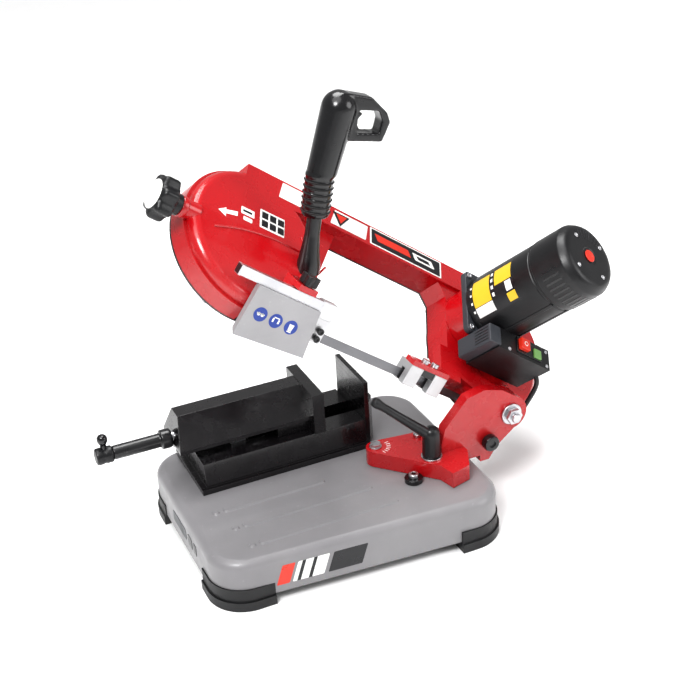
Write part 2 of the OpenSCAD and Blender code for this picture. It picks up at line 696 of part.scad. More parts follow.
module rear_pads() color("dimgray") arm() {
  for (s = [-1, 1], a = [-176, -132]) translate([0, blade_y, 0])
    box(a, a + 18, min(s * 0.7, s * 4), max(s * 0.7, s * 4), -27, -10);
  box(-156, -134, -50, -22, -8, 2);
}

// ---- motor and switch
module motor_body() color(black_plastic) difference() {
  union() {
    loop() box(motor_a - 50, motor_a + 50, motor_v - 50, motor_v + 50, flange_n[0], flange_n[1]);
    at_motor() cylinder_at(flange_n[1] - 1, 188, motor_d / 2);
  }
  at_motor() cylinder_at(flange_n[1] + 4, 190, motor_d / 2 - 5);
  at_motor() cylinder_at(50, 80, 8);
}
motor_end = 60 + motor_len;
module motor_cap() color(black_plastic) at_motor() difference() {
  union() {
    cylinder_at(188, motor_end - 12, motor_d / 2 + 1);
    translate([0, 0, motor_end - 12]) cylinder(h = 12, r1 = motor_d / 2 + 1, r2 = motor_d / 2 - 6);
  }
  cylinder_at(187, motor_end - 8, motor_d / 2 - 5);
  for (i = [0 : 3]) rotate([0, 0, 45 + 90 * i]) translate([30, 0, 0])
    cylinder_at(motor_end - 10, motor_end + 1, 2.5);
}
module brush_cap() color("red") at_motor() {
  cylinder_at(motor_end, motor_end + 1.5, 9);
}
sw_a = [-100, 20];
sw_v = [33, 66];
sw_n = [36, 100];
stop_at = [-36, 52];
stop_r = 9;
start_at = [-8, 48];
start_r = 7.5;
module switch_box() color(black_plastic) difference() {
  loop() union() {
    box(sw_a[0] + 16, sw_a[1], sw_v[0], sw_v[1], sw_n[0], sw_n[1]);
    box(sw_a[0], sw_a[0] + 16, sw_v[0] + 4, sw_v[1] - 3, sw_n[0] + 4, sw_n[1]);
  }
  loop() box(sw_a[0] + 22, sw_a[1] - 4, sw_v[0] + 4, sw_v[1] - 4, sw_n[0] + 4, sw_n[1] - 4);
  loop() translate([0, 0, 30]) linear_extrude(40) case_outline(4.3);
  at_motor() cylinder_at(flange_n[0] - 1, 120, motor_d / 2 + gap);
  loop() box(motor_a - 51, motor_a + 51, motor_v - 50.3, motor_v, flange_n[0] - 1, 67);
  loop() translate([0, 0, sw_n[1] - 5]) {
    translate([stop_at[0], stop_at[1], 0]) cylinder(h = 10, r = stop_r + gap);
    translate([start_at[0], start_at[1], 0]) cylinder(h = 10, r = start_r + gap);
  }
}
module start_button() color("green") loop() translate([start_at[0], start_at[1], 0])
  cylinder_at(sw_n[1] - 3, sw_n[1] + 5, start_r);
module stop_button() color("red") loop() translate([stop_at[0], stop_at[1], 0])
  cylinder_at(sw_n[1] - 3, sw_n[1] + 9, stop_r);

// ---- lead from the switch box to the grommet on the leg
lead_r = 3.8;
lead_points = [
  [319, -54, 171], [321, -57, 163], [320, -56, 151], [314, -54, 138], [305, -52, 123],
  [292, -51, 109], [278, -51, 99.5], [266, -51, 96], [257, -51, 95]
];
module head_lead() color(rubber) tube(lead_points, lead_r, 8);

// ---- handle: z runs up the tube
handle_lean = 24.8;
module handle_frame() arm() translate([-366, 5, 54]) rotate([0, -handle_lean, 0]) children();
module handle_tube() color(black_paint) difference() {
  handle_frame() {
    translate([0, 0, -24]) cylinder(h = 104, r = 10);
    translate([0, 0, -24]) cylinder(h = 34, r = 15);
  }
  loop() box(-460, -280, -10, 180, -30, front_n - 4);   // ends inside the housing's wall
}
module handle_grip() color(black_plastic) handle_frame() difference() {
  union() {
    for (i = [0 : 6]) translate([0, 0, 70 + 8 * i]) cylinder(h = 8.01, r1 = 17, r2 = 20);
    hull() {
      translate([2, 0, 126]) cylinder(h = 1, r = 20, $fn = 32);
      translate([14, 0, 212]) sphere(r = 23, $fn = 32);
    }
    // finger guard
    translate([0, 12, 0]) rotate([90, 0, 0]) linear_extrude(24) difference() {
      polygon([[12, 234], [54, 229], [78, 210], [84, 198], [76, 172], [30, 172]]);
      polygon([[38, 212], [66, 212], [72, 200], [70, 183], [38, 183]]);
    }
  }
  translate([0, 0, 40]) cylinder(h = 60, r = 10);
  box(21, 60, -8, 8, 182, 213);
}
module trigger() color(black_plastic) handle_frame() difference() {
  box(26.6, 44, -7, 7, 186, 208);
  translate([50, 10, 196]) rotate([90, 0, 0]) cylinder(h = 20, r = 11);
}

// ---- mains cord behind the base
cord_r = 3.75;
cord_points = [
  [60, 193, 44], [60, 200, 43], [60, 207, 39.5], [60, 214, 33], [60, 220, 25], [60, 226, 17],
  [60, 233, 10], [60, 241, 5.5], [60, 250, 3.8]
];
coil_centre = [12.25, 250];
module cord_tube() color(rubber) tube(cord_points, cord_r, 8);
module cord_coil() color(rubber) translate([coil_centre[0], coil_centre[1], 0])
  rotate_extrude() polygon([[36.5, 0], [51.5, 0], [51.5, 22.5], [44, 22.5], [44, 37.5], [36.5, 37.5]]);
module cord_plug() color(rubber) translate([-52, 205, 0]) {
  translate([0, 0, 17]) rotate([-90, 0, 0]) {
    cylinder(h = 30, r = 17);
    translate([0, 0, 30]) cylinder(h = 16, r1 = 12, r2 = 5);
  }
  for (x = [-9.5, 9.5]) translate([x, 0.5, 17]) rotate([90, 0, 0]) cylinder(h = 19, r = 2.4);
}

base_tray();
foot(0);  // foot_front_left
foot(1);  // foot_front_right
foot(3);  // foot_rear_left
foot(2);  // foot_rear_right
foot_screws();
vise_bed();
vise_bolts();
fixed_jaw();
vise_nut();
cord_gland();
sliding_jaw();
jaw_keeper();
vise_screw();
screw_crank();
swivel_bracket();
swivel_pivot();
clamp_stud();
clamp_washer();
clamp_lever();
mitre_stop();
bracket_screw();
hinge_bolt();
hinge_washer();
hinge_spring();
lock_knob();
lead_grommet();
head_frame();
wheel_cover();
head_screws();
gear_case();
blade();
head_lead();
drive_wheel();
drive_gear();
armature();
idler_wheel();
idler_bearing();
tension_slide();
tension_screw();
tension_knob();
guide_bar();
blade_guard();
front_guide();
front_pads();
guide_knob();
rear_guide();
rear_pads();
motor_body();
motor_cap();
brush_cap();
switch_box();
start_button();
stop_button();
handle_tube();
handle_grip();
trigger();
cord_tube();
cord_coil();
cord_plug();
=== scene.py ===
"""Looks of a small bench band saw: painted castings, motor, guards, vise and cord over the CAD frame.

Shapes are given in millimetres in one of four frames: the row frame, the blade loop's frame (along the
arm, across the wheels, along their axes), the arm's upright frame, and the handle's frame.
"""

import json
import math

import bmesh
import bpy
from mathutils import Matrix, Vector


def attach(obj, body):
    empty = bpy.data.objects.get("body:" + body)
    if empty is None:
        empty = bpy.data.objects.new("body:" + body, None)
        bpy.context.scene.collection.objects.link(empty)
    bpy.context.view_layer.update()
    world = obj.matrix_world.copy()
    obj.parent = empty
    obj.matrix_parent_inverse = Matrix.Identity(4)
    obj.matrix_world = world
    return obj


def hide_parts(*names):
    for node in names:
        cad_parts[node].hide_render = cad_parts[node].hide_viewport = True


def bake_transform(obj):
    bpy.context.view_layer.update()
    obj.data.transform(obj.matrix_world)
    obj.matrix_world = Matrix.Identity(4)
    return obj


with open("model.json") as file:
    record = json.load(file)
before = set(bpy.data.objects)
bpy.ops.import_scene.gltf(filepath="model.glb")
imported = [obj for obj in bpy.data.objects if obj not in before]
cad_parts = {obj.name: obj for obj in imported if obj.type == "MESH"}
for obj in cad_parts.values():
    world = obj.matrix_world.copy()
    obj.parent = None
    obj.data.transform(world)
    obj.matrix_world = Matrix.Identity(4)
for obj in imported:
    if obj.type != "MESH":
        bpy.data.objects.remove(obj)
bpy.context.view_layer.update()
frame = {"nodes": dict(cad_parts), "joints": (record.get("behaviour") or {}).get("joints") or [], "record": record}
MM = 0.001
scene = bpy.context.scene
joints = {j["name"]: j for j in frame["joints"]}
body_of = {n: body for body, nodes in frame["record"]["behaviour"]["bodies"].items() for n in nodes}

# ---------------------------------------------------------------- camera
LENS_MM = 66.86
CAMERA_AT = Vector((-0.5573, -1.4461, 1.0995))
camera_data = bpy.data.cameras.new("camera")
camera_data.lens = LENS_MM
camera = bpy.data.objects.new("camera", camera_data)
scene.collection.objects.link(camera)
right = Vector((0.90814, -0.41548, -0.05150))
up = Vector((0.23811, 0.41141, 0.87979))
look = Vector((0.34435, 0.81124, -0.47255))
camera.matrix_world = Matrix((
    (right.x, up.x, -look.x, CAMERA_AT.x),
    (right.y, up.y, -look.y, CAMERA_AT.y),
    (right.z, up.z, -look.z, CAMERA_AT.z),
    (0, 0, 0, 1),
))
scene.camera = camera

# ---------------------------------------------------------------- frames of the saw head
HINGE = Vector(joints["head_hinge"]["pos_m"])
U = Vector(joints["tension_travel"]["axis"]).normalized()    # along the arm, to the hinge
N = Vector(joints["drive_spin"]["axis"]).normalized()        # along the wheels' axes
B = Vector(joints["guide_knob_turn"]["axis"]).normalized()   # square to the arm, upright
V = N.cross(U)                                               # across the loop, to the beam
X, Y, Z = (Vector(axis) for axis in ((1, 0, 0), (0, 1, 0), (0, 0, 1)))
DRIVE = Vector(joints["drive_spin"]["pos_m"])
WHEEL_R = 90                 # of the blade wheels
DRIVE_A = -9                 # centres of the wheels along the arm
IDLER_A = -446
MOTOR_A, MOTOR_V = -58, 117  # the motor's axis in the loop's frame
FRONT_N = 25                 # front face of the head's casting
GUARD_Y = -66                # front face of the blade guard


def loop(a, v, n):
    """A point in the blade loop's frame, in millimetres, as a point in the row frame."""
    return DRIVE + (U * (a - DRIVE_A) + V * (v - WHEEL_R) + N * n) * MM


def arm(a, y, b):
    """A point in the arm's upright frame, in millimetres."""
    return Vector((HINGE.x, y * MM, HINGE.z)) + (U * a + B * b) * MM


def basis(x, y, z, origin):
    """The matrix that takes millimetres along x, y, z at origin to the row frame."""
    m = Matrix((x, y, z)).transposed().to_4x4() @ Matrix.Scale(MM, 4)
    m.translation = origin
    return m


def at(x, y, z):
    """A point of the row frame given in millimetres."""
    return Vector((x, y, z)) * MM


LOOP = basis(U, V, N, loop(0, 0, 0))
LEAN = math.radians(24.8)    # of the handle, away from the hinge
GRIP_Z = B * math.cos(LEAN) - U * math.sin(LEAN)
GRIP_X = U * math.cos(LEAN) + B * math.sin(LEAN)
HANDLE = basis(GRIP_X, Y, GRIP_Z, arm(-366, 5, 54))

# ---------------------------------------------------------------- materials


def surface(name, colour, rough, metal=0.0, grain=500, bump=0.1, mottle=0.08, wear=0.0,
            wear_colour=(0.5, 0.5, 0.5), coat=0.0, streak=None, dust=0.0):
    """A painted, moulded or machined surface: mottled colour, uneven gloss, fine grain and worn spots."""
    mat = bpy.data.materials.new(name)
    mat.use_nodes = True
    tree = mat.node_tree
    shader = tree.nodes["Principled BSDF"]
    new, link = tree.nodes.new, tree.links.new
    coords = new("ShaderNodeTexCoord")
    mapping = new("ShaderNodeMapping")
    mapping.inputs["Scale"].default_value = streak or (1, 1, 1)
    whole = coords.outputs["Object"]
    link(whole, mapping.inputs["Vector"])
    stretched = mapping.outputs["Vector"]

    def noise(scale, detail, source):
        node = new("ShaderNodeTexNoise")
        node.inputs["Scale"].default_value = scale
        node.inputs["Detail"].default_value = detail
        link(source, node.inputs["Vector"])
        return node.outputs["Fac"]

    def spread(value, low, high, out_low, out_high):
        node = new("ShaderNodeMapRange")
        limits = {"From Min": low, "From Max": high, "To Min": out_low, "To Max": out_high}
        for key, number in limits.items():
            node.inputs[key].default_value = number
        link(value, node.inputs["Value"])
        return node.outputs["Result"]

    def mix(factor, first, second):
        node = new("ShaderNodeMix")
        node.data_type = "RGBA"
        link(factor, node.inputs["Factor"])
        for key, value in (("A", first), ("B", second)):
            target = next(s for s in node.inputs if s.name == key and s.type == "RGBA")
            if isinstance(value, tuple):
                target.default_value = (*value, 1)
            else:
                link(value, target)
        return next(s for s in node.outputs if s.type == "RGBA")

    broad = noise(14, 4, whole)
    tone = mix(spread(broad, 0.3, 0.7, 0, 1), tuple(c * (1 - mottle) for c in colour),
               tuple(min(1, c * (1 + mottle)) for c in colour))
    if wear:
        spots = noise(160, 8, whole)
        tone = mix(spread(spots, 0.66, 0.74, 0, wear), tone, wear_colour)
    if dust:
        haze = noise(5, 5, whole)
        tone = mix(spread(haze, 0.5, 0.8, 0, dust), tone, (0.55, 0.53, 0.5))
    link(tone, shader.inputs["Base Color"])
    smear = noise(38, 6, stretched)
    gloss = spread(smear, 0.3, 0.7, max(0.02, rough - 0.07), min(1, rough + 0.09))
    link(gloss, shader.inputs["Roughness"])
    fine = noise(grain, 3, stretched)
    relief = new("ShaderNodeBump")
    relief.inputs["Strength"].default_value = bump
    relief.inputs["Distance"].default_value = 0.4 * MM
    link(fine, relief.inputs["Height"])
    link(relief.outputs["Normal"], shader.inputs["Normal"])
    for key, number in (("Metallic", metal), ("Coat Weight", coat), ("Coat Roughness", 0.08)):
        shader.inputs[key].default_value = number
    return mat


RED = surface("red_paint", (0.41, 0.0035, 0.0075), 0.25, grain=260, bump=0.10, mottle=0.06, wear=0.12,
              wear_colour=(0.35, 0.02, 0.02), coat=0.5, dust=0.05)
GREY = surface("grey_paint", (0.205, 0.2, 0.208), 0.38, grain=420, bump=0.16, mottle=0.05, wear=0.2,
               wear_colour=(0.36, 0.35, 0.36), coat=0.15, dust=0.08)
IRON = surface("black_iron", (0.007, 0.006, 0.007), 0.24, grain=300, bump=0.14, wear=0.25,
               wear_colour=(0.05, 0.045, 0.05), coat=0.4)
BLACK_STEEL = surface("black_steel", (0.007, 0.007, 0.008), 0.3, grain=500, bump=0.08, coat=0.3, wear=0.2,
                      wear_colour=(0.07, 0.07, 0.07))
STEEL = surface("steel", (0.56, 0.56, 0.58), 0.3, metal=1, grain=700, bump=0.05, streak=(1, 8, 1), wear=0.12,
                wear_colour=(0.4, 0.39, 0.38))
CAST_STEEL = surface("satin_steel", (0.6, 0.6, 0.61), 0.42, metal=0.85, grain=420, bump=0.25, wear=0.3,
                     wear_colour=(0.4, 0.4, 0.4))
SHEET = surface("guard_sheet", (0.33, 0.325, 0.335), 0.42, metal=0.3, grain=520, bump=0.1, streak=(1, 1, 6),
                wear=0.15, wear_colour=(0.6, 0.6, 0.6))
BLADE = surface("blade_steel", (0.2, 0.2, 0.21), 0.34, metal=0.9, grain=600, bump=0.06, streak=(9, 1, 9),
                wear=0.3, wear_colour=(0.12, 0.11, 0.1))
PLASTIC = surface("black_plastic", (0.007, 0.007, 0.008), 0.36, grain=1100, bump=0.22, wear=0.15,
                  wear_colour=(0.03, 0.03, 0.03))
GLOSS = surface("black_gloss", (0.006, 0.006, 0.007), 0.2, grain=900, bump=0.06, coat=0.3)
RUBBER = surface("rubber", (0.008, 0.008, 0.009), 0.5, grain=800, bump=0.3, dust=0.08)
CORD = surface("cord_rubber", (0.008, 0.008, 0.009), 0.42, grain=900, bump=0.15, dust=0.04)
DARK_GREY = surface("dark_grey_plastic", (0.04, 0.043, 0.05), 0.4, grain=1000, bump=0.15)
RED_PLASTIC = surface("red_plastic", (0.62, 0.03, 0.012), 0.3, grain=800, bump=0.08, coat=0.2)
GREEN = surface("green_plastic", (0.16, 0.33, 0.1), 0.32, grain=800, bump=0.08, coat=0.2)
WHITE = surface("white_film", (0.78, 0.78, 0.76), 0.32, grain=600, bump=0.05, mottle=0.03, wear=0.1,
                wear_colour=(0.6, 0.6, 0.58))
BLACK_FILM = surface("black_film", (0.012, 0.012, 0.014), 0.3, grain=600, bump=0.05)
YELLOW = surface("yellow_film", (0.72, 0.46, 0.03), 0.34, grain=600, bump=0.05, mottle=0.05)
BLUE = surface("blue_film", (0.02, 0.05, 0.27), 0.34, grain=600, bump=0.05)

# ---------------------------------------------------------------- making pieces


def place(obj, material, like, cad_nodes=()):
    """Gives a piece its material and the body of the CAD node like, and hides the nodes it replaces."""
    obj.data.materials.clear()
    obj.data.materials.append(material)
    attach(obj, body_of[like])
    if cad_nodes:
        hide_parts(*cad_nodes)
    return obj


def linked(name, mesh):
    """A new object of the scene."""
    obj = bpy.data.objects.new(name, mesh)
    scene.collection.objects.link(obj)
    return obj


def soften(obj, bevel, segments=3, angle=32):
    """Rounds edges sharper than angle, by bevel in millimetres, and keeps the flat faces flat."""
    for polygon in obj.data.polygons:
        polygon.use_smooth = True
    if bevel:
        edge = obj.modifiers.new("edges", "BEVEL")
        edge.width = bevel * MM
        edge.segments = segments
        edge.limit_method = "ANGLE"
        edge.angle_limit = math.radians(angle)
    normals = obj.modifiers.new("normals", "WEIGHTED_NORMAL")
    normals.keep_sharp = True
    return obj


def dressed(node, material, bevel=1.0, segments=3, angle=32):
    """The CAD node's own shape with its edges rounded."""
    mesh = frame["nodes"][node].data.copy()
    bm = bmesh.new()
    bm.from_mesh(mesh)
    bmesh.ops.remove_doubles(bm, verts=bm.verts, dist=2e-5)
    bmesh.ops.dissolve_limit(bm, angle_limit=math.radians(0.6), verts=bm.verts, edges=bm.edges)
    bm.normal_update()
    bm.to_mesh(mesh)
    bm.free()
    obj = linked(node + "_look", mesh)
    soften(obj, bevel, segments, angle)
    return place(obj, material, node, (node,))


def moulded(node, material, voxel, passes):
    """The CAD node's shape with every edge melted, as in a rubbery moulding."""
    obj = linked(node + "_look", frame["nodes"][node].data.copy())
    remesh = obj.modifiers.new("remesh", "REMESH")
    remesh.mode = "VOXEL"
    remesh.voxel_size = voxel * MM
    remesh.use_smooth_shade = True
    melt = obj.modifiers.new("melt", "SMOOTH")
    melt.factor = 0.5
    melt.iterations = passes
    return place(obj, material, node, (node,))


def built(name, bm):
    """The object made from bm, which is freed."""
    bmesh.ops.recalc_face_normals(bm, faces=bm.faces)
    mesh = bpy.data.meshes.new(name)
    bm.to_mesh(mesh)
    bm.free()
    return linked(name, mesh)


def prism(name, outline, low, high, matrix, material, like, bevel=0.0, cad_nodes=()):
    """An outline raised from low to high along the third axis of matrix."""
    bm = bmesh.new()
    rings = [[bm.verts.new(matrix @ Vector((x, y, z))) for x, y in outline] for z in (low, high)]
    count = len(outline)
    bm.faces.new(rings[0][::-1])
    bm.faces.new(rings[1])
    for i in range(count):
        j = (i + 1) % count
        bm.faces.new((rings[0][i], rings[0][j], rings[1][j], rings[1][i]))
    return place(soften(built(name, bm), bevel), material, like, cad_nodes)


LATHE_BEVEL = 0.5
LATHE_SHARP = 34    # degrees; edges blunter than this stay as they are


def lathe(name, profile, matrix, material, like, steps=72, cad_nodes=(), ripple=None):
    """(radius, height) points turned about matrix's third axis; ripple(angle, height) scales them."""
    bm = bmesh.new()
    rings = []
    for radius, height in profile:
        ring = []
        for i in range(steps):
            w = 2 * math.pi * i / steps
            r = radius * (ripple(w, height) if ripple else 1)
            ring.append(bm.verts.new(matrix @ Vector((r * math.cos(w), r * math.sin(w), height))))
        rings.append(ring)
    for first, second in zip(rings, rings[1:]):
        for i in range(steps):
            j = (i + 1) % steps
            bm.faces.new((first[i], first[j], second[j], second[i]))
    bm.faces.new(rings[0][::-1])
    bm.faces.new(rings[-1])
    return place(soften(built(name, bm), LATHE_BEVEL, 2, LATHE_SHARP), material, like, cad_nodes)


def tube(name, points, radius, material, like=None, cad_nodes=()):
    """A round bar or lead along points of the row frame, in metres; without like it rides on nothing."""
    curve = bpy.data.curves.new(name, "CURVE")
    curve.dimensions = "3D"
    curve.bevel_depth = radius
    curve.bevel_resolution = 4
    curve.use_fill_caps = True
    spline = curve.splines.new("POLY")
    spline.points.add(len(points) - 1)
    for point, target in zip(points, spline.points):
        target.co = (*point, 1)
    draft = linked(name + "_draft", curve)
    bpy.context.view_layer.update()
    mesh = bpy.data.meshes.new_from_object(draft.evaluated_get(bpy.context.evaluated_depsgraph_get()))
    bpy.data.objects.remove(draft)
    obj = linked(name, mesh)
    for polygon in mesh.polygons:
        polygon.use_smooth = True
    if like:
        place(obj, material, like, cad_nodes)
    else:
        mesh.materials.append(material)
    return obj


def rounded(points, radius, steps=6):
    """The outline with each corner turned through an arc."""
    out = []
    count = len(points)
    for i in range(count):
        p = Vector(points[i])
        before = Vector(points[i - 1]) - p
        after = Vector(points[(i + 1) % count]) - p
        cut = min(radius, before.length / 2.2, after.length / 2.2)
        first = p + before.normalized() * cut
        last = p + after.normalized() * cut
        for k in range(steps + 1):
            t = k / steps
            out.append(tuple(first * (1 - t) ** 2 + p * 2 * t * (1 - t) + last * t ** 2))
    return out


def disc(x, y, r, count=28):
    """The outline of a circle."""
    return [(x + r * math.cos(2 * math.pi * i / count), y + r * math.sin(2 * math.pi * i / count))
            for i in range(count)]


def rectangle(a0, v0, a1, v1):
    """The outline between two corners."""
    return [(a0, v0), (a1, v0), (a1, v1), (a0, v1)]


def turned(axis, origin, side=None):
    """The matrix whose third axis is axis, at origin in metres."""
    z = axis.normalized()
    x = (side or (Z if abs(z.z) < 0.9 else X)).cross(z).normalized()
    return basis(x, z.cross(x), z, origin)


def smoothstep(t):
    """Rises from 0 to 1 with no kink at either end."""
    t = min(1, max(0, t))
    return t * t * (3 - 2 * t)


def curved(points, steps=8):
    """A smooth line through points, by Catmull and Rom."""
    ends = [points[0] * 2 - points[1]] + points + [points[-1] * 2 - points[-2]]
    out = []
    for p0, p1, p2, p3 in zip(ends, ends[1:], ends[2:], ends[3:]):
        for i in range(steps):
            t = i / steps
            out.append(0.5 * (2 * p1 + (p2 - p0) * t + (2 * p0 - 5 * p1 + 4 * p2 - p3) * t * t
                              + (3 * p1 - p0 - 3 * p2 + p3) * t ** 3))
    return out + [points[-1]]


# ---------------------------------------------------------------- cords
CORD_R = 3.75
PLUG_X, PLUG_Y, PLUG_Z = -52, 205, 17
COIL = Vector((12.25, 250))    # the coil's middle
INNER, OUTER = 40.25, 47.75    # radii of the two columns of turns
LAYER = 2 * CORD_R + 0.02      # from one layer of turns to the next
TAIL_FROM, TAIL_TURN = 2220, 120    # where the cord leaves the coil, and how long it takes, in degrees
EXIT_X, EXIT_Z = 60, 44        # of the gland, on the tray's rear wall
drop = ((193, 44), (200, 43), (207, 39.5), (214, 33), (220, 25), (226, 17), (233, 10), (241, 5.5))
lead_in = [Vector((EXIT_X, y, z)) for y, z in drop]


def coil_point(d):
    """Place of the cord after it has turned d degrees round the coil."""
    def hop(start, length=40):
        return smoothstep((d - start) / length)

    r = OUTER + (INNER - OUTER) * (hop(310) - hop(1080) + hop(1400, 30))
    z = CORD_R + LAYER * (hop(670) + hop(1365, 35) + hop(1750) + hop(2110))
    tail = smoothstep((d - TAIL_FROM) / TAIL_TURN)
    r += (COIL.x - PLUG_X - INNER) * tail
    z += (PLUG_Z - (CORD_R + 4 * LAYER)) * tail
    w = math.radians(d)
    return Vector((COIL.x + r * math.cos(w), COIL.y + r * math.sin(w), z))


# the stretch from 0 to 12 degrees only shapes the bend into the coil, and its six points are dropped
route = curved(lead_in + [coil_point(0), coil_point(12)], 5)[:-6]
route += [coil_point(d) for d in range(6, TAIL_FROM + TAIL_TURN + 1, 6)]
route = [p * MM for p in route]
cord = tube("mains_cord", route, CORD_R * MM, CORD, "cord_tube", ("cord_tube", "cord_coil"))

plug_matrix = turned(Y, at(PLUG_X, PLUG_Y, PLUG_Z), X)
plug_profile = [(14, 0), (16.4, 1.2), (17, 3), (17, 9), (15.6, 11), (15.6, 18), (16.6, 20), (16.4, 27),
                (13, 33), (11, 36), (8.4, 37), (8.2, 39), (7.4, 39.6), (7.2, 42), (6.2, 42.6), (6, 45),
                (4.6, 46)]
pin_profile = [(1.5, -19), (2.4, -18.6), (2.4, 0.4), (2.0, 0.5)]
plug = lathe("mains_plug", plug_profile, plug_matrix, RUBBER, "cord_plug", cad_nodes=("cord_plug",))
for side in (-1, 1):
    pin_matrix = basis(X, -Z, Y, at(PLUG_X + 9.5 * side, PLUG_Y, PLUG_Z))
    lathe(f"plug_pin_{side + 2}", pin_profile, pin_matrix, STEEL, "cord_plug", steps=24)

# the lead from the switch box to the grommet on the leg
lead_points = [at(*p) for p in (
    (319, -54, 172), (321, -57, 163), (320, -56, 151), (314, -54, 138), (305, -52, 123), (292, -51, 109),
    (278, -51, 99.5), (266, -51, 96), (255, -51, 95))]
lead = tube("switch_lead", curved(lead_points), 3.6 * MM, CORD)
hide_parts("head_lead")
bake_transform(lead)

gland_matrix = turned(Y, at(EXIT_X, 163, EXIT_Z))
gland_profile = [(9, -3), (10, 0), (10, 5), (8.6, 6.4)]
for i in range(5):    # the tapered ribs of the strain relief
    h = 4.5 * i
    gland_profile += [(7.8 - 0.6 * i, 7.2 + h), (7.4 - 0.6 * i, 10 + h), (6.2 - 0.5 * i, 10.6 + h)]
lathe("gland_sleeve", gland_profile, gland_matrix, RUBBER, "cord_gland", steps=40, cad_nodes=("cord_gland",))

# ---------------------------------------------------------------- base
dressed("base_tray", GREY, 0.8, 2, 40)
for node in ("foot_front_left", "foot_front_right", "foot_rear_left", "foot_rear_right"):
    dressed(node, RUBBER, 2.2, 3, 40)
for node in ("foot_screws", "vise_bolts", "swivel_pivot", "clamp_stud", "clamp_washer"):
    dressed(node, STEEL, 0.5, 2, 25)

FRONT_DIR = Vector((315, -23, 0)).normalized()
FRONT_OUT = Vector((FRONT_DIR.y, -FRONT_DIR.x, 0))
front = basis(FRONT_DIR, Z, FRONT_OUT, at(-157, -149, 0))
FILM = 0.25                          # thickness of a printed film
STRIPE_LOW, STRIPE_HIGH = 27, 57
STRIPE_SLANT = 10


def stripe(start, end):
    """A slanted bar on the tray's front wall."""
    return [(start, STRIPE_LOW), (end, STRIPE_LOW), (end + STRIPE_SLANT, STRIPE_HIGH),
            (start + STRIPE_SLANT, STRIPE_HIGH)]


stripes = (("stripe_red", RED_PLASTIC, 26, 44), ("stripe_white", WHITE, 48, 92),
           ("stripe_dark", BLACK_FILM, 98, 146))
for name, material, start, end in stripes:
    prism(name, rounded(stripe(start, end), 2), -0.1, FILM, front, material, "base_tray")
for i, start in enumerate((54, 70)):
    prism(f"stripe_thin_{i}", stripe(start, start + 5), FILM, FILM + 0.1, front, BLACK_FILM, "base_tray")
left_wall = basis(-Y, Z, -X, at(-207, 0, 0))
for i, (start, end) in enumerate(((-48, 8), (16, 34), (40, 52))):
    prism(f"wall_plate_{i}", rounded(rectangle(start, 34, end, 52), 4), -0.4, 0.5, left_wall,
          DARK_GREY if i == 0 else BLACK_FILM, "base_tray", bevel=0.3)

# ---------------------------------------------------------------- vise
dressed("vise_bed", IRON, 2.0, 3)
dressed("fixed_jaw", IRON, 1.2, 3)
dressed("sliding_jaw", IRON, 2.2, 3)
dressed("vise_nut", STEEL, 0.8)
dressed("jaw_keeper", STEEL, 0.5)
SCREW_Y, SCREW_Z = 83, 146
THREAD_PITCH = 6
screw = turned(X, at(-272, SCREW_Y, SCREW_Z))
rod = [(9, 0.5), (10, 2), (10, 66), (10.4, 68), (13.4, 69), (14, 70.5), (14, 80), (13.2, 83), (11, 84.7),
       (8, 84.8)]
lathe("vise_spindle", rod, screw, BLACK_STEEL, "vise_screw", cad_nodes=("vise_screw",))
thread = [(8, 84.9), (8, 98)]
for i in range(20):
    h = THREAD_PITCH * i
    thread += [(9, 104 + h), (9, 106.6 + h), (7.6, 107.4 + h), (7.6, 109.2 + h)]
lathe("vise_thread", thread + [(8, 226)], screw, STEEL, "vise_screw", steps=36)
crank = turned(X, at(-296, SCREW_Y, SCREW_Z))
crank_profile = [(8, 0), (11, 0.8), (12, 2.5), (12, 9), (11.4, 10), (11.4, 14), (12, 15), (12, 22), (11, 24)]
lathe("crank_hub", crank_profile, crank, PLASTIC, "screw_crank", cad_nodes=("screw_crank",))
peg = turned(Z, at(-283, SCREW_Y, SCREW_Z))
peg_profile = [(4.2, 8), (4.4, 15), (4.2, 17), (5.2, 19), (6.6, 21.5), (7.4, 24), (7.5, 26), (6.9, 29),
               (5.2, 31.3), (3, 32.3), (0.6, 32.5)]
lathe("crank_peg", peg_profile, peg, GLOSS, "screw_crank", steps=40)

# gripping ridges on both jaw faces
JAW_Y = (35, 131)
RIDGE_H, RIDGE_STEP = 3.4, 8
jaw_face = basis(Y, Z, X, at(0, 0, 0))
ridged = (("jaw_ridge_moving", 25.4, 26.1, "sliding_jaw"), ("jaw_ridge_fixed", 87.9, 88.5, "fixed_jaw"))
for name, x0, x1, like in ridged:
    for i in range(7):
        z = 124 + RIDGE_STEP * i
        prism(f"{name}_{i}", rectangle(JAW_Y[0], z, JAW_Y[1], z + RIDGE_H), x0, x1, jaw_face, IRON, like,
              bevel=0.25)

# ---------------------------------------------------------------- swivel
dressed("swivel_bracket", RED, 3.0, 4)
dressed("mitre_stop", GLOSS, 0.8)
dressed("bracket_screw", STEEL, 0.7)
dressed("lead_grommet", RUBBER, 1.0)
dressed("hinge_spring", STEEL, 0)
stop_top = turned(Z, at(106.5, -83, 81))
lathe("stop_screw", [(6.4, 0.1), (7.2, 0.6), (7.2, 5), (6.4, 6.1), (3.4, 6.2), (3.2, 4.5)], stop_top, STEEL,
      "mitre_stop", steps=36)


def fluted(count, depth, low, high):
    """A ripple of count shallow grooves between two heights."""
    def ripple(w, h):
        return 1 - depth * (0.5 + 0.5 * math.cos(count * w)) if low < h < high else 1
    return ripple


